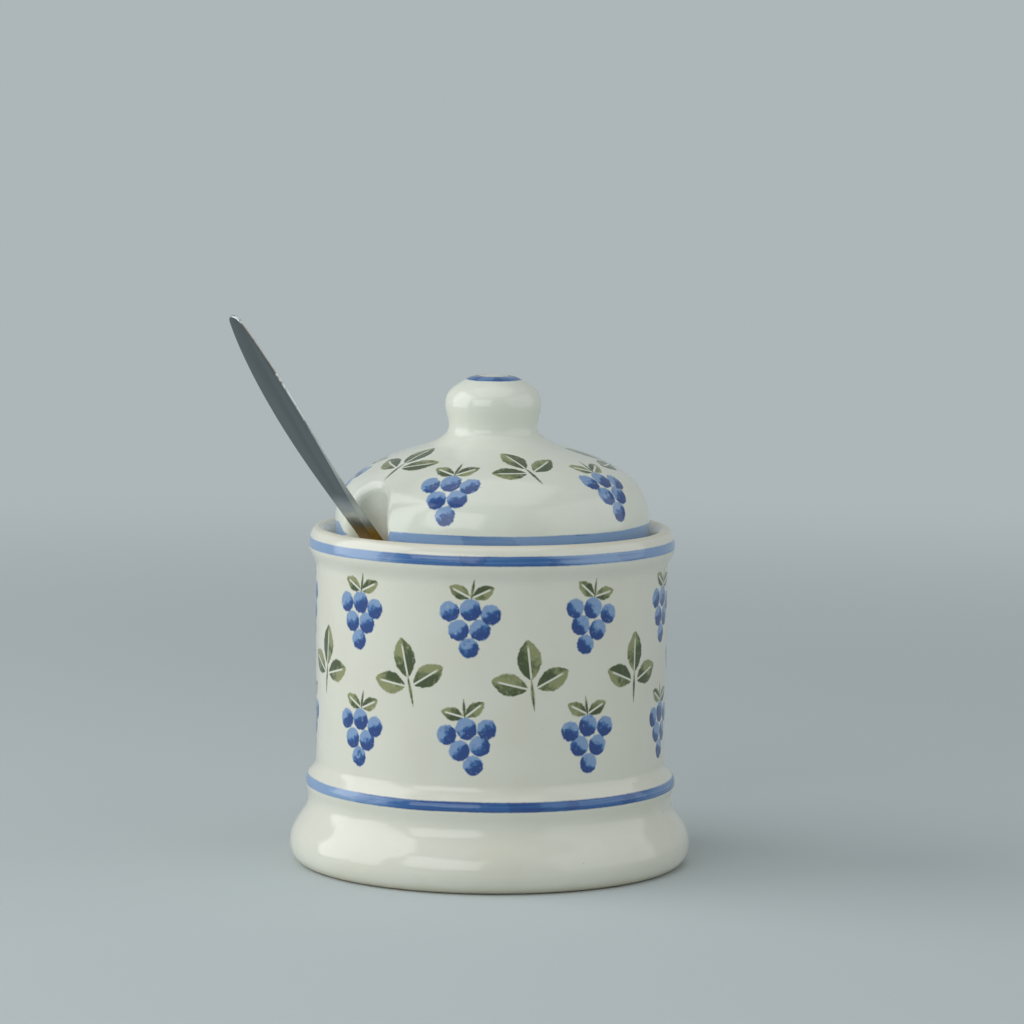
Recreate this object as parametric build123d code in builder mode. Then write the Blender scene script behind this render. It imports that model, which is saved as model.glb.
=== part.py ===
from build123d import *
import os
from math import cos, degrees, radians, sin, sqrt

os.makedirs("parts", exist_ok=True)

# A lidded earthenware jam pot with its spoon, in millimetres.
# The origin is the middle of the foot's resting face, +Z is up and the front is towards -Y.

# Pot: outside
pot_height = 82.9          # resting face to the crest of the rolled rim
wall_radius = 43.0         # outside of the wall at the bead, which the other radii follow
wall_draft = 0.35          # how much wider the wall is at the rim
foot_flare = 6.3           # widest part of the foot, out from the wall
foot_widest_height = 4.6
foot_rounding = 3.5        # how far the foot turns in from its widest part to its resting face
foot_ring_width = 5.6      # bare resting ring
base_recess = 3.6          # hollow of the underside inside the ring
ogee_flare = 4.2           # middle of the foot's ogee, out from the wall
ogee_height = 10.6
waist_flare = 1.8          # hollow below the bead, out from the wall
waist_height = 16.4
bead_flare = 2.55          # crown of the bead that carries the lower painted band, out from the wall
bead_height = 19.9
bead_top = 25.4            # where the bead runs into the wall
rim_flare = 1.95           # widest part of the rolled rim, out from the wall
rim_widest_drop = 4.4      # below the crest
rim_flare_drop = 9.6       # where the wall starts to flare, below the crest
crest_inset = 2.25         # crest of the rim, in from its widest part
crest_width = 2.9          # crest of the rim to the wall of the lid's recess

# Pot: inside
wall_thickness = 4.8
floor_height = 9.0
floor_corner = 12.0
gallery_drop = 3.9         # ledge that carries the lid, below the crest
gallery_width = 4.7
gallery_nose = 1.0         # rounding of the ledge's inner edge
gallery_depth = 11.0       # height over which the ledge runs back into the wall

# Lid
lid_clearance = 1.2        # between the lid's edge and the wall of its recess
lid_height = 41.0          # seat to the top of the knob
lid_wall = 4.2
lid_edge_height = 5.3      # upright edge that carries the painted band
lid_seat_rounding = 1.0
shoulder_inset = 7.3       # shoulder of the dome, in from the lid's edge
shoulder_height = 18.0
shoulder_turn = 45.0       # degrees from upright at which the dome's wall passes the shoulder
crown_radius = 16.5        # where the dome runs into the foot of the knob
crown_height = 23.9
crown_slope = 0.27
hollow_rise = 2.2          # top of the hollow above the underside of the crown's edge
knob_radius = 11.8
knob_widest_drop = 7.0     # below the top of the knob
knob_brow_inset = 1.3      # rounded brow between the knob's top and side
knob_brow_drop = 3.5
knob_crown_inset = 4.7     # edge of the knob's nearly flat top
knob_crown_drop = 1.1
neck_radius = 10.9
neck_drop = 12.4
neck_flare = 1.6           # throat of the fillet between the neck and the dome
neck_flare_drop = 15.0
knob_core_wall = 5.0       # clay round the hollow core of the knob
knob_core_drop = 8.0
knob_core_rounding = 4.9   # of the core's blind end

# Notch for the spoon's handle
notch_bearing = 54.0       # degrees from the front towards the left
notch_radius = 7.5
notch_gap = 1.9            # between the handle and the bottom of the notch
notch_shoulder = 3.0       # rounding of the notch's edges
notch_wall = 3.6           # clay round the notch, inside the lid
notch_lean = 17.0          # degrees that the notch leans outwards from upright

# Spoon
spoon_length = 163.0
spoon_lean = 38.5          # degrees from upright
rest_gap = 0.3             # between the spoon and what it leans and stands on
handle_bend = 650.0        # radius of the handle's slight upward curve
handle_widest = 11.5
handle_widest_place = 37.5 # from the end of the handle
handle_waist_place = 63.5  # from the end of the handle
handle_waist = 6.2
handle_end = 4.6           # width where the rounded end starts
handle_end_slope = 0.34    # how fast the sides close in there, which the rounded end carries on
blade_thickness = 0.9      # thin outer part of the handle
blade_length = 40.0
swell_length = 35.0        # over which the handle thickens to its neck
neck_width = 5.2
neck_place = 9.0           # from the heel of the bowl
neck_thickness = 2.6
handle_edge = 0.3          # rounding of the handle's edges
bowl_length = 48.0
bowl_width = 29.0
bowl_widest_place = 30.0   # from the tip of the bowl
bowl_depth = 8.0
bowl_wall = 1.3
bowl_drop = 1.7            # rim of the bowl below the top of the neck
bowl_tilt = 5.0            # degrees that the bowl turns up from the handle's line
bowl_root = 4.0            # how far the neck runs into the wall of the bowl
bowl_slices = (0, 0.45, 0.8, 0.97)  # shares of the depth at which the bowl's outline is drawn

# Levels and radii that the pieces share
UP = (0, 1)
DOWN = (0, -1)
gallery_height = pot_height - gallery_drop
rim_radius = wall_radius + rim_flare
crest_radius = rim_radius - crest_inset
recess_radius = crest_radius - crest_width
lid_radius = recess_radius - lid_clearance
gallery_radius = recess_radius - gallery_width
inner_radius = wall_radius - wall_thickness

# The notch and the spoon's handle lie in one upright plane through the pot's axis
bearing = radians(notch_bearing)
lean = radians(spoon_lean)
outward = Vector(-sin(bearing), -cos(bearing), 0)
upward = Vector(0, 0, 1)
handle_axis = outward * sin(lean) + upward * cos(lean)
handle_top = upward * sin(lean) - outward * cos(lean)

# The handle's underside leans on the rounded nose of the gallery
nose_centre = outward * (gallery_radius + gallery_nose) + upward * (gallery_height - gallery_nose)
seat = nose_centre + handle_top * (gallery_nose + rest_gap)
spoon_plane = Plane(origin=seat, x_dir=handle_axis, z_dir=handle_top)
side_plane = Plane(origin=seat, x_dir=handle_axis, z_dir=-spoon_plane.y_dir)

# The bowl turns up a little from the handle's line
tilt = radians(bowl_tilt)
bowl_back = bowl_length - bowl_widest_place
bowl_axis = handle_axis * cos(tilt) - handle_top * sin(tilt)
bowl_top = handle_top * cos(tilt) + handle_axis * sin(tilt)

# The lowest point of the bowl stands on the floor, which sets how deep the spoon goes
bowl_reach = sqrt((bowl_widest_place * cos(lean + tilt)) ** 2 + (bowl_depth * sin(lean + tilt)) ** 2)
heel_level = neck_thickness - bowl_drop
middle_level = heel_level + bowl_back * sin(tilt)
middle_height = floor_height + rest_gap + bowl_reach
middle_along = (middle_height - seat.Z - middle_level * sin(lean)) / cos(lean)
bowl_plane = Plane(origin=seat + handle_axis * middle_along + handle_top * middle_level,
                   x_dir=bowl_axis, z_dir=bowl_top)
heel_along = middle_along + bowl_back * cos(tilt)
neck_along = heel_along + neck_place
root_along = heel_along - bowl_root
end_along = heel_along + spoon_length - bowl_length
swell_along = end_along - blade_length - swell_length

# The notch leaves room for the thickest part of the handle
slot_width = (rest_gap + neck_thickness) / cos(lean) + notch_gap
notch_middle = gallery_radius - slot_width + notch_radius
notch_axis = outward * sin(radians(notch_lean)) + upward * cos(radians(notch_lean))
notch_plane = Plane(origin=outward * notch_middle + upward * gallery_height, z_dir=notch_axis)


# Pot: one turned profile
with BuildPart() as pot:
    foot_radius = wall_radius + foot_flare
    waist_radius = wall_radius + waist_flare
    bead_radius = wall_radius + bead_flare
    ring_outer = foot_radius - foot_rounding
    ring_inner = ring_outer - foot_ring_width
    rim_widest = pot_height - rim_widest_drop
    flare_start = pot_height - rim_flare_drop
    ledge_foot = gallery_height - gallery_depth
    with BuildSketch(Plane.XZ):
        with BuildLine():
            Line((0, base_recess), (ring_inner - base_recess, base_recess))
            Line((ring_inner - base_recess, base_recess), (ring_inner, 0))
            Line((ring_inner, 0), (ring_outer, 0))
            EllipticalCenterArc((ring_outer, foot_widest_height), foot_rounding, foot_widest_height,
                                start_angle=-90, arc_size=90)
            Spline((foot_radius, foot_widest_height), (wall_radius + ogee_flare, ogee_height),
                   (waist_radius, waist_height), tangents=(UP, UP))
            Spline((waist_radius, waist_height), (bead_radius, bead_height), tangents=(UP, UP))
            Spline((bead_radius, bead_height), (wall_radius, bead_top), tangents=(UP, UP))
            Line((wall_radius, bead_top), (wall_radius + wall_draft, flare_start))
            Spline((wall_radius + wall_draft, flare_start), (rim_radius, rim_widest), tangents=(UP, UP))
            EllipticalCenterArc((crest_radius, rim_widest), crest_inset, rim_widest_drop,
                                start_angle=0, arc_size=90)
            EllipticalCenterArc((crest_radius, gallery_height), crest_width, gallery_drop,
                                start_angle=90, arc_size=90)
            Line((recess_radius, gallery_height), (gallery_radius + gallery_nose, gallery_height))
            CenterArc((gallery_radius + gallery_nose, gallery_height - gallery_nose), gallery_nose, 90, 90)
            Spline((gallery_radius, gallery_height - gallery_nose), (inner_radius, ledge_foot),
                   tangents=(DOWN, DOWN))
            Line((inner_radius, ledge_foot), (inner_radius, floor_height + floor_corner))
            CenterArc((inner_radius - floor_corner, floor_height + floor_corner), floor_corner, 0, -90)
            Line((inner_radius - floor_corner, floor_height), (0, floor_height))
            Line((0, floor_height), (0, base_recess))
        make_face()
    revolve(axis=Axis.Z)
pot.part.label = "pot"
export_step(pot.part, "parts/pot.step")

# Lid: the hollow underside, which keeps a wall of clay round the notch and a core in the knob
with BuildPart() as lid_hollow:
    hollow_radius = lid_radius - lid_wall
    shoulder_radius = lid_radius - shoulder_inset
    shoulder_wall = lid_wall * sin(radians(shoulder_turn))
    hollow_top = gallery_height + crown_height - lid_wall + hollow_rise
    with BuildSketch(Plane.XZ):
        with BuildLine():
            Line((0, gallery_height), (hollow_radius, gallery_height))
            Line((hollow_radius, gallery_height), (hollow_radius, gallery_height + lid_edge_height))
            Spline((hollow_radius, gallery_height + lid_edge_height),
                   (shoulder_radius - shoulder_wall, gallery_height + shoulder_height - shoulder_wall),
                   (0, hollow_top), tangents=(UP, (-1, 0)))
            Line((0, hollow_top), (0, gallery_height))
        make_face()
    revolve(axis=Axis.Z)
    with BuildSketch(notch_plane):
        Circle(notch_radius + notch_wall)
    extrude(amount=lid_height, both=True, mode=Mode.SUBTRACT)
    with BuildSketch(Plane.XY.offset(gallery_height)):
        Circle(neck_radius - knob_core_wall)
    extrude(amount=lid_height - knob_core_drop)
    fillet(lid_hollow.edges().sort_by(Axis.Z)[-1], knob_core_rounding)

# Lid: one turned profile, cut by the notch
with BuildPart() as lid:
    knob_top = gallery_height + lid_height
    edge_top = gallery_height + lid_edge_height
    with BuildSketch(Plane.XZ):
        with BuildLine():
            Line((0, gallery_height), (lid_radius, gallery_height))
            Line((lid_radius, gallery_height), (lid_radius, edge_top))
            Spline((lid_radius, edge_top), (shoulder_radius, gallery_height + shoulder_height),
                   (crown_radius, gallery_height + crown_height), tangents=(UP, (-1, crown_slope)))
            Spline((crown_radius, gallery_height + crown_height),
                   (neck_radius + neck_flare, knob_top - neck_flare_drop),
                   (neck_radius, knob_top - neck_drop), tangents=((-1, crown_slope), UP))
            Spline((neck_radius, knob_top - neck_drop), (knob_radius, knob_top - knob_widest_drop),
                   tangents=(UP, UP))
            Spline((knob_radius, knob_top - knob_widest_drop),
                   (knob_radius - knob_brow_inset, knob_top - knob_brow_drop),
                   (knob_radius - knob_crown_inset, knob_top - knob_crown_drop),
                   (0, knob_top), tangents=(UP, (-1, 0)))
            Line((0, knob_top), (0, gallery_height))
        make_face()
    revolve(axis=Axis.Z)
    with BuildSketch(notch_plane):
        Circle(notch_radius)
    extrude(amount=lid_height, both=True, mode=Mode.SUBTRACT)
    notch_bottom = notch_plane.origin - outward * notch_radius + notch_axis * lid_edge_height
    notch_face = lid.faces().sort_by_distance(notch_bottom)[0]
    fillet(notch_face.edges().filter_by(lambda edge: edge.center().Z > gallery_height), notch_shoulder)
    fillet(lid.faces().sort_by(Axis.Z)[0].edges(), lid_seat_rounding)
    add(lid_hollow.part, mode=Mode.SUBTRACT)
lid.part.label = "lid"
export_step(lid.part, "parts/lid.step")


# A slice of the spoon's bowl: two half ellipses of one width, the longer one at the tip
def bowl_slice(share, inset):
    size = sqrt(1 - share ** 2)
    half_width = size * (bowl_width / 2 - inset)
    with BuildSketch(bowl_plane.offset(-share * (bowl_depth - inset))) as outline:
        with BuildLine():
            EllipticalCenterArc((0, 0), size * (bowl_back - inset), half_width,
                                start_angle=-90, arc_size=180)
            EllipticalCenterArc((0, 0), size * (bowl_widest_place - inset), half_width,
                                start_angle=90, arc_size=180)
        make_face()
    return outline.sketch


# Spoon: a stamped handle, thicker at the neck, with the bowl lofted on its lower end.
# The handle's side view runs on past its end, and its outline from above rounds it off.
with BuildPart() as spoon:
    with BuildSketch(side_plane.offset(-handle_widest)):
        with BuildLine():
            root = Line((root_along, heel_level - neck_thickness), (root_along, heel_level))
            throat = Spline(root @ 0, (neck_along, 0), tangents=((1, 0), (1, 0)))
            straight = Line(throat @ 1, (0, 0))
            bend = JernArc(straight @ 1, (1, 0), handle_bend,
                           degrees((end_along + handle_end) / handle_bend))
            tip_across = Vector(-(bend % 1).Y, (bend % 1).X)
            tip = Line(bend @ 1, bend @ 1 + tip_across * blade_thickness)
            blade = JernArc(tip @ 1, -(bend % 1), handle_bend - blade_thickness,
                            -degrees((blade_length + handle_end) / handle_bend))
            swell = Spline(blade @ 1, (swell_along, neck_thickness), tangents=(blade % 1, (-1, 0)))
            neck = Line(swell @ 1, (neck_along, neck_thickness))
            Spline(neck @ 1, root @ 1, tangents=((-1, 0), (-1, 0)))
        make_face()
    extrude(amount=2 * handle_widest)
    with BuildSketch(spoon_plane.offset(-handle_widest)):
        with BuildLine():
            tip_run = handle_end / 2 * (sqrt(1 + handle_end_slope ** 2) - handle_end_slope)
            tip_along = end_along - tip_run
            edge = Spline((root_along, neck_width / 2), (neck_along, neck_width / 2),
                          (end_along - handle_waist_place, handle_waist / 2),
                          (end_along - handle_widest_place, handle_widest / 2),
                          (tip_along, handle_end / 2), tangents=((1, 0), (1, -handle_end_slope)))
            mirror(edge, about=Plane.XZ)
            Line((root_along, neck_width / 2), (root_along, -neck_width / 2))
            ThreePointArc((tip_along, handle_end / 2), (end_along, 0), (tip_along, -handle_end / 2))
        make_face()
    extrude(amount=2 * handle_widest, mode=Mode.INTERSECT)
    fillet(spoon.edges().filter_by(GeomType.LINE, reverse=True), handle_edge)
    loft([bowl_slice(share, 0) for share in bowl_slices])
    loft([bowl_slice(share, bowl_wall) for share in bowl_slices], mode=Mode.SUBTRACT)
    extrude(bowl_slice(0, bowl_wall), amount=bowl_depth, mode=Mode.SUBTRACT)
spoon.part.label = "spoon"
export_step(spoon.part, "parts/spoon.step")
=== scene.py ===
from math import cos, pi, radians, sin
from typing import NamedTuple

import bpy
from mathutils import Matrix, Vector

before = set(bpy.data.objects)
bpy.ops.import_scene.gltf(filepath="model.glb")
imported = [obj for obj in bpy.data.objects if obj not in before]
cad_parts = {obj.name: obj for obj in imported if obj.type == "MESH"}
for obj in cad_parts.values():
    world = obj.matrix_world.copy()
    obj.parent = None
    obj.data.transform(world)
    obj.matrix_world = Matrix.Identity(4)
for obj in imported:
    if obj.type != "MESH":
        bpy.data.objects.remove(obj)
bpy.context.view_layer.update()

MM = 0.001
UP = Vector((0, 0, 1))
SIDEWAYS = Vector((1, 0, 0))


def reach(node, direction):
    """How far a node's own mesh reaches in a direction, in millimetres from the origin."""
    return max(direction.dot(vertex.co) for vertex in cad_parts[node].data.vertices) / MM


def linear(red, green, blue):
    """A colour as it looks on screen, from 0 to 255, in the renderer's own numbers."""
    def channel(value):
        share = value / 255
        return share / 12.92 if share <= 0.04045 else ((share + 0.055) / 1.055) ** 2.4
    return (channel(red), channel(green), channel(blue), 1)


# Colours of the clay, the glaze, the paints and the steel
CREAM = linear(224, 225, 212)
LID_CREAM = linear(226, 231, 219)
CREAM_THIN = linear(214, 209, 188)
BISCUIT = linear(196, 176, 146)
SPECK = linear(132, 104, 76)
BLUES = linear(126, 158, 200), linear(36, 99, 163), linear(0, 60, 131)
GREENS = linear(142, 148, 102), linear(104, 116, 74), linear(62, 78, 40)
# The steel is darker than bare steel: painted shade, standing in for the dark surroundings that its face
# mirrors
STEEL = linear(116, 124, 128)
STEEL_DARK = linear(100, 108, 112)
# A painted highlight on the spoon's edges, and a painted reflection in a band above the amber
STEEL_PAINTED_HIGHLIGHT = linear(208, 212, 210)
TARNISH = linear(86, 63, 44)
AMBER = linear(166, 125, 45)

# Colours of the studio
PAPER = linear(196, 206, 208)
AIR = linear(208, 214, 214)


class Wire:
    """A value or a colour on its way to a shader. Python's operators add the maths nodes."""

    def __init__(self, nodes, socket):
        self.nodes = nodes
        self.socket = socket

    def maths(self, operation, *terms):
        return self.nodes.node("ShaderNodeMath", {"operation": operation}, dict(enumerate(terms)))

    def __add__(self, other):
        return self.maths("ADD", self, other)

    __radd__ = __add__

    def __sub__(self, other):
        return self.maths("SUBTRACT", self, other)

    def __rsub__(self, other):
        return self.maths("SUBTRACT", other, self)

    def __mul__(self, other):
        return self.maths("MULTIPLY", self, other)

    __rmul__ = __mul__

    def __truediv__(self, other):
        return self.maths("DIVIDE", self, other)

    def __neg__(self):
        return self.maths("MULTIPLY", self, -1)

    def __abs__(self):
        return self.maths("ABSOLUTE", self)

    def __gt__(self, other):
        return self.maths("GREATER_THAN", self, other)

    def root(self):
        return self.maths("SQRT", self)

    def rounded(self):
        return self.maths("ROUND", self)

    def sign(self):
        return self.maths("SIGN", self)

    def most(self, other):
        return self.maths("MAXIMUM", self, other)

    def least(self, other):
        return self.maths("MINIMUM", self, other)

    def rise(self, low, high):
        """0 below low, 1 above high, and a soft step between them."""
        return self.nodes.node("ShaderNodeMapRange", {"interpolation_type": "SMOOTHSTEP"},
                               {"Value": self, "From Min": low, "From Max": high})

    def fall(self, low, high):
        """1 below low, 0 above high, and a soft step between them."""
        return 1 - self.rise(low, high)


class Nodes:
    """The node tree of a material or of the world."""

    def __init__(self, tree):
        self.tree = tree

    def node(self, kind, settings, sockets, output=0):
        """Adds a node with its settings and the values or links of its sockets. Gives one output."""
        made = self.tree.nodes.new(kind)
        for name, value in settings.items():
            setattr(made, name, value)
        for name, value in sockets.items():
            if isinstance(value, Wire):
                self.tree.links.new(value.socket, made.inputs[name])
            else:
                made.inputs[name].default_value = value
        return Wire(self, made.outputs[output])

    def vector(self, operation, *terms, **named):
        output = "Value" if operation == "DOT_PRODUCT" else "Vector"
        return self.node("ShaderNodeVectorMath", {"operation": operation},
                         {**dict(enumerate(terms)), **named}, output)

    def parts(self, vector):
        return [self.node("ShaderNodeSeparateXYZ", {}, {"Vector": vector}, axis) for axis in "XYZ"]

    def joined(self, x, y, z):
        return self.node("ShaderNodeCombineXYZ", {}, {"X": x, "Y": y, "Z": z})

    def mix(self, share, below, above):
        return self.node("ShaderNodeMix", {"data_type": "RGBA"}, {0: share, 6: below, 7: above}, 2)

    def noise(self, place, size, detail=2.0, roughness=0.5):
        """Cloudy noise round 0.5. Its clouds are about that size across, in the units of the place."""
        return self.node("ShaderNodeTexNoise", {},
                         {"Vector": place, "Scale": 1 / size, "Detail": detail, "Roughness": roughness})

    def chance(self, number):
        """One random value from 0 to 1 for each number."""
        return self.node("ShaderNodeTexWhiteNoise", {"noise_dimensions": "1D"}, {"W": number})

    def show(self, share, below, above, output):
        """Puts one shader where the share is 0 and another where it is 1, and shows them."""
        blended = self.node("ShaderNodeMixShader", {}, {0: share, 1: below, 2: above})
        self.tree.links.new(blended.socket, self.tree.nodes[output].inputs["Surface"])


class Finish(Nodes):
    """A material round one Principled shader, with the surface's own coordinates in millimetres."""

    def __init__(self, name, **constants):
        self.material = bpy.data.materials.new(name)
        self.material.use_nodes = True
        super().__init__(self.material.node_tree)
        self.shader = self.tree.nodes["Principled BSDF"]
        for socket, value in constants.items():
            self.shader.inputs[socket.replace("_", " ")].default_value = value
        place = self.node("ShaderNodeTexCoord", {}, {}, "Object")
        self.place = self.vector("SCALE", place, Scale=1 / MM)
        self.x, self.y, self.z = self.parts(self.place)

    def from_axis(self):
        """The distance from the pot's upright axis."""
        return (self.x * self.x + self.y * self.y).root()

    def feed(self, socket, wire):
        self.tree.links.new(wire.socket, self.shader.inputs[socket])

    def relief(self, height, depth):
        """Bumps of that depth in millimetres, where height goes from 0 to 1."""
        self.feed("Normal", self.node("ShaderNodeBump", {}, {"Height": height, "Distance": depth * MM}))


# Hand-painted motifs, on a flat patch with u to the right and v upwards, in millimetres.
# A berry is its place and radius.
# A leaf or stalk is the place of its base, its bearing in degrees, its length and its half width.
BERRIES = (
    (-4.9, 2.9, 2.5), (0.1, 3.6, 2.7), (5.0, 2.7, 2.5),
    (-2.5, -1.4, 2.6), (2.6, -1.1, 2.6),
    (0.2, -5.5, 2.5),
)
BUNCH_LEAVES = ((0.2, 6.4, 156, 6.2, 1.7), (0.2, 6.4, 28, 6.2, 1.7))
BUNCH_STALK = (0.1, 5.4, 84, 5.8, 0.42)
SPRAY_LEAVES = ((0.0, 0.7, 90, 10.4, 3.0), (-0.9, -1.1, 160, 9.5, 2.8), (0.9, -1.1, 20, 9.5, 2.8))
SPRAY_STALK = (0.0, -6.9, 90, 8.8, 0.45)


def berry_bunch(u, v, ragged):
    """Round dabs, each deeper below and to the right. Gives their mask and their depth of colour."""
    mask, depth = 0, 0
    for across, up, radius in BERRIES:
        du, dv = u - across, v - up
        dab = ((du * du + dv * dv).root() + ragged).fall(radius - 0.3, radius + 0.2)
        shade = (du * 0.5 - dv * 0.85 + ragged * 1.5).rise(-0.7 * radius, 0.6 * radius)
        mask = dab.most(mask)
        depth = (dab * shade).most(depth)
    return mask, depth


def leaf_shape(u, v, ragged, leaf):
    """A pointed oval on its own bearing. Gives its mask, and the place along it and to its side."""
    across, up, bearing, length, half_width = leaf
    turn = radians(bearing)
    du, dv = u - across, v - up
    along = (du * cos(turn) + dv * sin(turn)) / length
    side = dv * cos(turn) - du * sin(turn)
    inside = along.least(1).most(0)
    edge = half_width * 4 * inside * (1 - inside) + 0.05
    blade = (abs(side) + ragged).fall(edge - 0.35, edge + 0.15)
    return blade * along.rise(0, 0.06) * along.fall(0.94, 1), along, side


def leaf_spray(u, v, ragged, leaves, stalk):
    """Leaves with bare ribs on one stalk. Gives their mask and their depth of colour."""
    mask, depth = 0, 0
    for leaf in leaves:
        shape, along, side = leaf_shape(u, v, ragged, leaf)
        rib = abs(side).rise(0.1, 0.36).most(along.rise(0.72, 0.86))
        mask = (shape * rib).most(mask)
        depth = (shape * (side.rise(-0.3, 0.6) * 0.55 + along.fall(0.15, 0.85) * 0.5)).most(depth)
    stem, _, _ = leaf_shape(u, v, ragged * 0.4, stalk)
    return stem.most(mask), depth.most(stem * 0.7)


def ring_cells(angle, count, start):
    """Shares a ring out evenly. Gives the angle from the middle of a point's share, and its number."""
    turn = (angle - start) * (count / (2 * pi))
    cell = turn.rounded()
    return (turn - cell) * (2 * pi / count), cell


def up_the_dome(finish, ring, slope):
    """How far a point lies above a ring of that height and radius, along the dome's slope there,
    which is given as its share upwards and its share inwards."""
    height, radius = ring
    upwards, inwards = slope
    return (finish.z - height) * upwards - (finish.radius - radius) * inwards


def set_down(finish, u, v, cell, seed, lean):
    """The patch turned by up to lean degrees and mirrored or not, as a hand sets each motif down."""
    turn = (finish.chance(cell + seed) - 0.5) * (2 * radians(lean))
    flip = (finish.chance(cell + seed + 0.5) > 0.5) * 2 - 1
    return (u - v * turn) * flip, v + u * turn


def toned(finish, tone, tones):
    """One paint from its pale tone at 0 through its middle tone to its deep tone at 1."""
    pale, middle, deep = tones
    return finish.mix(tone.rise(0.4, 1), finish.mix(tone.rise(0, 0.6), pale, middle), deep)


def sponged(finish, colour, mask, depth, tones):
    """A sponged paint over the glaze, thin where the sponge left gaps."""
    tone = (depth * 0.8 + (finish.wash - 0.5) * 1.4 + (finish.sponge - 0.5) * 0.5).rise(0.05, 0.75)
    cover = mask * (0.55 + finish.sponge.rise(0.18, 0.42) * 0.42)
    return finish.mix(cover, colour, toned(finish, tone, tones))


def berry_motif(finish, colour, u, v, where):
    """A hanging bunch of blue berries under two small leaves."""
    mask, depth = leaf_spray(u, v, finish.ragged, BUNCH_LEAVES, BUNCH_STALK)
    colour = sponged(finish, colour, mask * where, depth, GREENS)
    mask, depth = berry_bunch(u, v, finish.ragged)
    return sponged(finish, colour, mask * where, depth, BLUES)


def leaf_motif(finish, colour, u, v, load, where):
    """A spray of three plain leaves, deeper in colour where the sponge is more loaded."""
    mask, depth = leaf_spray(u, v, finish.ragged, SPRAY_LEAVES, SPRAY_STALK)
    return sponged(finish, colour, mask * where, depth + load, GREENS)


class Brush(NamedTuple):
    """How a band is brushed on: the depth of its colour in front, how much of that the left and right
    sides lose to a painted reflection of the lamps there, the angle in degrees that its strokes are turned
    by, and the seed that sets them apart."""

    load: float
    painted_sheen_left: float
    painted_sheen_right: float
    turn: float
    seed: float


RIM_BRUSH = Brush(load=0.3, painted_sheen_left=0.5, painted_sheen_right=0.35, turn=0.0, seed=2.0)
BEAD_BRUSH = Brush(load=0.46, painted_sheen_left=0.6, painted_sheen_right=0.15, turn=43.0, seed=7.0)
LID_BRUSH = Brush(load=-0.06, painted_sheen_left=0.3, painted_sheen_right=0.2, turn=0.0, seed=11.0)
KNOB_BRUSH = Brush(load=0.32, painted_sheen_left=0.0, painted_sheen_right=0.0, turn=0.0, seed=17.0)
SECOND_STROKES = (5.2, 1.3, 0)     # where the second strokes look into the noise, from the first


def brush_band(finish, colour, off, half, brush, where):
    """A line drawn with a loaded brush on a turning pot, where off is the distance from its middle.
    Strokes with rounded ends lie over each other, and the colour gathers along the edges."""
    across, ahead = finish.bearing
    turn = radians(brush.turn)
    stroke_x = across * cos(turn) - ahead * sin(turn) + brush.seed
    stroke_y = across * sin(turn) + ahead * cos(turn)
    around = finish.joined(stroke_x, stroke_y, 0)
    wander = (finish.noise(around, size=0.55, detail=1) - 0.5) * 0.5
    rough = (finish.noise(finish.place, size=1.1, detail=3) - 0.5) * 0.2
    middle = (off - wander) / half
    mask = (abs(middle) * half + rough).fall(half - 0.22, half + 0.18)
    slant = finish.joined(stroke_x, stroke_y, middle * 0.03)
    brushed = finish.joined(stroke_x, stroke_y, middle * 1.5)
    hairs = finish.noise(brushed, size=0.8, detail=4, roughness=0.65)
    dryness = (hairs - 0.5) * 0.12 - middle * middle * 0.02
    first = finish.noise(slant, size=0.6, detail=1).rise(0.3, 0.7)
    second = finish.noise(finish.vector("ADD", slant, SECOND_STROKES), size=0.4, detail=1)
    second = (second + dryness).rise(0.545, 0.565)
    pooled = finish.noise(around, size=0.7, detail=1).rise(0.45, 0.6)
    gathered = middle.fall(-0.95, -0.5) + middle.rise(0.5, 0.95) * pooled
    # Painted reflection: the band turns paler on its left and right sides, where the lamps are mirrored in
    # it
    load = brush.load - (-across).rise(0.4, 0.7) * brush.painted_sheen_left - across.rise(0.2, 0.6) * brush.painted_sheen_right
    tone = load + first * 0.22 + second * 0.18 + gathered * 0.2 + (hairs - 0.5) * 0.8
    return finish.mix(mask * where * 0.97, colour, toned(finish, tone, BLUES))


def glaze(name, cream):
    """Cream glaze over pale clay, slightly wavy, with clouds and a few specks. Gives the finish, with
    the patterns that its paints share, and the unpainted colour."""
    finish = Finish(name, IOR=1.5)
    clouds = finish.noise(finish.place, size=14, detail=3)
    body = finish.mix(clouds.rise(0.42, 0.75) * 0.25, cream, CREAM_THIN)
    specks = finish.noise(finish.place, size=1.3, detail=1).rise(0.79, 0.83)
    body = finish.mix(specks * 0.35, body, SPECK)
    finish.radius = finish.from_axis()
    finish.angle = finish.x.maths("ARCTAN2", finish.y, finish.x)
    finish.bearing = finish.x / finish.radius.most(0.1), finish.y / finish.radius.most(0.1)
    finish.ragged = (finish.noise(finish.place, size=1.0, detail=3) - 0.5) * 0.9
    finish.sponge = finish.noise(finish.place, size=0.9, detail=4, roughness=0.62)
    finish.wash = finish.noise(finish.place, size=3.6)
    waves = finish.noise(finish.place, size=16, detail=1)
    ripples = finish.noise(finish.place, size=5)
    thrown = finish.noise(finish.vector("MULTIPLY", finish.place, (0.4, 0.4, 1)), size=1.7)
    finish.relief(waves * 0.76 + ripples * 0.16 + thrown * 0.08, depth=0.5)
    finish.feed("Roughness", 0.08 + clouds * 0.08)
    return finish, body


def wear(node, finish):
    """Gives a node its finish in place of the plain one that it came with."""
    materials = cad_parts[node].data.materials
    materials.clear()
    materials.append(finish.material)


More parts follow.
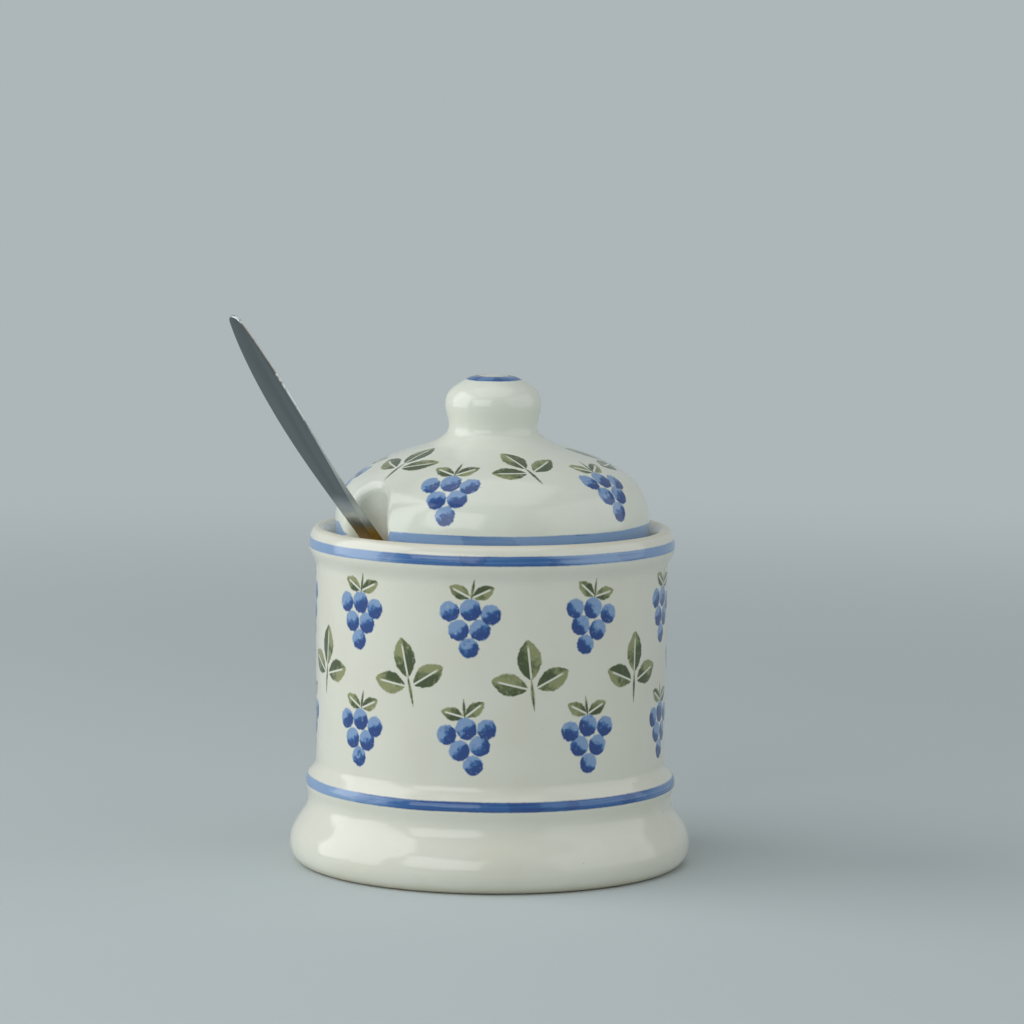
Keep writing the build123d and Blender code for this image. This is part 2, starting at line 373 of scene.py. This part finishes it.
# Pot: two rows of berries with a row of leaf sprays between them, and the two bands.
# Here and below, a pair of heights or radii is where a soft step starts and ends.
POT_TOP = reach("pot", UP)
WALL_RADIUS = reach("pot", SIDEWAYS) - 6.1
WALL_MIDDLE = POT_TOP - 33.1
WALL_CORE = WALL_RADIUS - 1.8, WALL_RADIUS - 1.4      # in the clay, so that only the outside is painted
THIN_RIM = POT_TOP - 0.9, POT_TOP - 0.1               # the glaze runs thin over the crest of the rim
THIN_FOOT = 0.6, 2.6
BARE_FOOT = 0.25, 0.6
POT_MOTIFS = 9
POT_START = radians(-97)
ROW_STEP = 14.2          # from the leaf sprays to each row of berries
ROW_SEED = 20            # sets the chances of the two rows apart
POT_BERRY_SEED, POT_BERRY_LEAN = 53, 14
POT_LEAF_SEED, POT_LEAF_LEAN = 140, 18
RIM_BAND = POT_TOP - 3.6
BEAD_BAND = 20.62
BAND_HALF = 1.2
pot_finish, colour = glaze("pot_glaze", CREAM)
outside = pot_finish.radius.rise(*WALL_CORE)
height = pot_finish.z - WALL_MIDDLE
row = height.sign()
arc, cell = ring_cells(pot_finish.angle, POT_MOTIFS, POT_START)
u, v = arc * WALL_RADIUS, height - row * ROW_STEP
u, v = set_down(pot_finish, u, v, cell + row * ROW_SEED, POT_BERRY_SEED, POT_BERRY_LEAN)
colour = berry_motif(pot_finish, colour, u, v, outside)
arc, cell = ring_cells(pot_finish.angle, POT_MOTIFS, POT_START + pi / POT_MOTIFS)
u, v = set_down(pot_finish, arc * WALL_RADIUS, height, cell, POT_LEAF_SEED, POT_LEAF_LEAN)
colour = leaf_motif(pot_finish, colour, u, v, load=0.0, where=outside)
thin = pot_finish.z.rise(*THIN_RIM).most(pot_finish.z.fall(*THIN_FOOT))
colour = pot_finish.mix(thin * 0.7, colour, CREAM_THIN)
for band, brush in ((RIM_BAND, RIM_BRUSH), (BEAD_BAND, BEAD_BRUSH)):
    colour = brush_band(pot_finish, colour, pot_finish.z - band, BAND_HALF, brush, outside)
colour = pot_finish.mix(pot_finish.z.fall(*BARE_FOOT), colour, BISCUIT)
pot_finish.feed("Base Color", colour)
wear("pot", pot_finish)

# Lid: a ring of berries, a ring of leaf sprays above it, the band on its edge and a ring on the knob
LID_SEAT = -reach("lid", -UP)
LID_TOP = reach("lid", UP)
LID_RADIUS = reach("lid", SIDEWAYS)
NOTCH = radians(-144)
HOLLOW_FOOT, HOLLOW_HEIGHT, HOLLOW_RADIUS = LID_SEAT + 5.3, 17, LID_RADIUS - 2.1
BARE_SEAT = LID_SEAT + 0.1, LID_SEAT + 0.5
NECK = LID_TOP - 12, LID_TOP - 11
LID_MOTIFS = 5
LID_BERRY_RING, LID_BERRY_SLOPE = (LID_SEAT + 14.4, LID_RADIUS - 4.4), (0.88, 0.48)
LID_BERRY_SEED, LID_BERRY_LEAN = 80, 16
LID_LEAF_RING, LID_LEAF_SLOPE = (LID_SEAT + 19.8, LID_RADIUS - 11.6), (0.55, 0.83)
LID_LEAF_SEED, LID_LEAF_LEAN = 120, 22
LID_BAND, LID_BAND_HALF = LID_SEAT + 3.9, 1.75
LID_EDGE = LID_RADIUS - 2.2, LID_RADIUS - 1.8
BAND_ENDS = 8.7          # from the middle of the notch to the ends of the band
BAND_BLUNT, BAND_TAPER = 1.2, 5.5
KNOB_TOP = LID_TOP - 5, LID_TOP - 4.4
KNOB_RING, KNOB_RING_HALF = 5.3, 1.6
lid_finish, colour = glaze("lid_glaze", LID_CREAM)
climb = (lid_finish.z - HOLLOW_FOOT) / HOLLOW_HEIGHT
spread = lid_finish.radius / HOLLOW_RADIUS
outside = (climb * climb + spread * spread).rise(1.0, 1.08)
arc, cell = ring_cells(lid_finish.angle, LID_MOTIFS, NOTCH + pi / LID_MOTIFS)
u, v = arc * lid_finish.radius, up_the_dome(lid_finish, LID_BERRY_RING, LID_BERRY_SLOPE)
u, v = set_down(lid_finish, u, v, cell, LID_BERRY_SEED, LID_BERRY_LEAN)
colour = berry_motif(lid_finish, colour, u, v, outside)
arc, cell = ring_cells(lid_finish.angle, LID_MOTIFS, NOTCH)
u, v = arc * lid_finish.radius, up_the_dome(lid_finish, LID_LEAF_RING, LID_LEAF_SLOPE)
u, v = set_down(lid_finish, u, v, cell, LID_LEAF_SEED, LID_LEAF_LEAN)
colour = leaf_motif(lid_finish, colour, u, v, load=0.25, where=outside * lid_finish.z.fall(*NECK))

# The lid's band ends bluntly on the right of the notch, and tapers on its left
from_notch, _ = ring_cells(lid_finish.angle, 1, NOTCH)
right_end = ((from_notch * LID_RADIUS - BAND_ENDS) / BAND_BLUNT).least(1).most(0).root()
left_end = ((-from_notch * LID_RADIUS - BAND_ENDS) / BAND_TAPER).least(1).most(0)
full = right_end.most(left_end)
off = lid_finish.z - LID_BAND + (1 - full) * LID_BAND_HALF * 0.5
half = (full * LID_BAND_HALF).most(0.1)
where = lid_finish.radius.rise(*LID_EDGE) * full.rise(0.02, 0.1)
colour = brush_band(lid_finish, colour, off, half, LID_BRUSH, where)
off = lid_finish.radius - KNOB_RING
colour = brush_band(lid_finish, colour, off, KNOB_RING_HALF, KNOB_BRUSH, lid_finish.z.rise(*KNOB_TOP))
colour = lid_finish.mix(lid_finish.z.fall(*BARE_SEAT), colour, BISCUIT)
lid_finish.feed("Base Color", colour)
wear("lid", lid_finish)

# Spoon: satin steel, brushed along the handle, with a painted highlight on its edges and a painted
# reflection above the amber, tarnished near the worn end
LEAN = radians(38.5)
HANDLE = Vector((cos(NOTCH) * sin(LEAN), sin(NOTCH) * sin(LEAN), cos(LEAN)))
HANDLE_TOP = Vector((-cos(NOTCH) * cos(LEAN), -sin(NOTCH) * cos(LEAN), sin(LEAN)))
BRUSHED = 0.96           # how much of a step along the handle the brushing leaves out
TIP = reach("spoon", HANDLE) - 0.35
TARNISH_START = TIP - 26
AMBER_TOP = POT_TOP + 3.7      # how high the amber colour reaches on the steel
AMBER_FOOT = 58, 74            # where it starts, inside the pot
spoon_finish = Finish("spoon_steel", Metallic=1.0)
along = spoon_finish.vector("DOT_PRODUCT", spoon_finish.place, HANDLE)
shortened = spoon_finish.vector("SCALE", HANDLE, Scale=along * BRUSHED)
drawn = spoon_finish.vector("SUBTRACT", spoon_finish.place, shortened)
hairs = spoon_finish.noise(drawn, size=0.5, detail=3)
patches = spoon_finish.noise(drawn, size=5)
spots = spoon_finish.noise(spoon_finish.place, size=2.4, detail=3)
normal = spoon_finish.node("ShaderNodeNewGeometry", {}, {}, "Normal")
facing = spoon_finish.vector("DOT_PRODUCT", normal, HANDLE_TOP)
edge = abs(facing).fall(0.5, 0.9)
uneven = spoon_finish.z + (patches - 0.5) * 3
# Painted shade: the painted highlight on the edges fades where they reach down towards the pot
shaded_low_edges = abs(facing).fall(0.35, 0.6) * uneven.fall(AMBER_TOP + 4, AMBER_TOP + 14)
steel = spoon_finish.mix(patches.rise(0.3, 0.7), STEEL_DARK, STEEL)
# Painted highlight along the edges of the handle
steel = spoon_finish.mix(edge * (0.8 - shaded_low_edges * 0.65), steel, STEEL_PAINTED_HIGHLIGHT)
worn = along.rise(TARNISH_START, TIP)
lower_edge = edge * facing.fall(-0.15, 0.2)
tarnished = along.rise(TARNISH_START - 16, TARNISH_START + 6) * along.fall(TIP - 2, TIP - 1)
rust = (spots + worn * 0.3).rise(0.51, 0.61) * lower_edge * tarnished
steel = spoon_finish.mix(rust * 0.9, steel, TARNISH)
smudge = spots.rise(0.5, 0.75) * worn * 0.3
steel = spoon_finish.mix(smudge, steel, STEEL_DARK)
# A painted reflection: a pale band on the steel just above the amber
painted_reflection = uneven.rise(AMBER_TOP - 1, AMBER_TOP + 1.5) * uneven.fall(AMBER_TOP + 3, AMBER_TOP + 7)
steel = spoon_finish.mix(painted_reflection * 0.6, steel, STEEL_PAINTED_HIGHLIGHT)
# Amber colour on the lower steel, from inside the pot up to just above the rim
amber_share = spoon_finish.z.rise(*AMBER_FOOT) * uneven.fall(AMBER_TOP - 3, AMBER_TOP)
steel = spoon_finish.mix(amber_share * 0.88, steel, AMBER)
spoon_finish.feed("Base Color", steel)
spoon_finish.feed("Roughness", 0.17 + hairs * 0.1 + edge * 0.08 + rust * 0.25)
spoon_finish.relief(hairs, depth=0.01)
wear("spoon", spoon_finish)

# Floor: pale paper that runs out into an even backdrop of its own colour
FLOOR_SIZE = 60          # metres
FADE = 180, 900          # millimetres from the pot's axis
BACKDROP = 0.76          # how bright the paper is where it runs out of the light
bpy.ops.mesh.primitive_plane_add(size=FLOOR_SIZE)
floor = bpy.context.object
floor.name = "floor"
floor_finish = Finish("floor_paper", Roughness=0.85, Base_Color=PAPER)
floor_finish.relief(floor_finish.noise(floor_finish.place, size=2.5), depth=0.05)
lit = Wire(floor_finish, floor_finish.shader.outputs[0])
backdrop = floor_finish.node("ShaderNodeEmission", {}, {"Color": PAPER, "Strength": BACKDROP})
floor_finish.show(floor_finish.from_axis().rise(*FADE), lit, backdrop, "Material Output")
floor.data.materials.append(floor_finish.material)

# Lamps: places and sizes in metres, and power in watts
MIDDLE = Vector((0, 0, LID_TOP * MM / 2))


def softbox(name, place, width, height, power):
    """A rectangular lamp that faces the middle of the object."""
    lamp = bpy.data.lights.new(name, "AREA")
    lamp.shape = "RECTANGLE"
    lamp.size, lamp.size_y = width, height
    lamp.energy = power
    stand = bpy.data.objects.new(name, lamp)
    stand.location = place
    stand.rotation_euler = (MIDDLE - Vector(place)).to_track_quat("-Z", "Y").to_euler()
    bpy.context.scene.collection.objects.link(stand)


softbox("key", (-0.954, -0.017, 0.45), width=1.0, height=1.15, power=7.4)
softbox("front", (-0.524, -0.945, 0.47), width=0.9, height=0.62, power=3.7)
softbox("top", (0.0, -0.1, 1.1), width=1.0, height=1.0, power=2.5)
softbox("right", (0.966, -0.259, 0.45), width=1.6, height=1.0, power=4.0)

# Surroundings: even light on the object, and the paper's colour where a ray looks past the floor
AIR_LIGHT = 0.2
world = bpy.data.worlds.new("studio")
world.use_nodes = True
sky = Nodes(world.node_tree)
air = sky.tree.nodes["Background"]
air.inputs["Color"].default_value = AIR
air.inputs["Strength"].default_value = AIR_LIGHT
paper = sky.node("ShaderNodeBackground", {}, {"Color": PAPER, "Strength": BACKDROP})
seen = sky.node("ShaderNodeLightPath", {}, {}, "Is Camera Ray")
for ray in ("Is Glossy Ray", "Is Transmission Ray"):
    seen = seen.most(sky.node("ShaderNodeLightPath", {}, {}, ray))
sky.show(seen, Wire(sky, air.outputs[0]), paper, "World Output")
bpy.context.scene.world = world

# Camera, where the photograph was taken from
CAMERA_PLACE = (0, -1.1, 0.2051)
YAW, PITCH, ROLL = radians(0.25), radians(6.16), radians(0.53)
FOCAL_PIXELS, PICTURE_PIXELS = 4505, 1024
SENSOR = 36              # millimetres
forward = Vector((sin(YAW) * cos(PITCH), cos(YAW) * cos(PITCH), -sin(PITCH)))
right = Vector((cos(YAW), -sin(YAW), 0))
upright = right.cross(forward)
rolled_right = right * cos(ROLL) + upright * sin(ROLL)
rolled_up = upright * cos(ROLL) - right * sin(ROLL)
axes = Matrix((rolled_right, rolled_up, -forward)).transposed()
camera_data = bpy.data.cameras.new("camera")
camera_data.sensor_width = SENSOR
camera_data.lens = SENSOR * FOCAL_PIXELS / PICTURE_PIXELS
camera = bpy.data.objects.new("camera", camera_data)
camera.matrix_world = Matrix.Translation(CAMERA_PLACE) @ axes.to_4x4()
bpy.context.scene.collection.objects.link(camera)
bpy.context.scene.camera = camera
bpy.context.scene.view_settings.view_transform = "Standard"
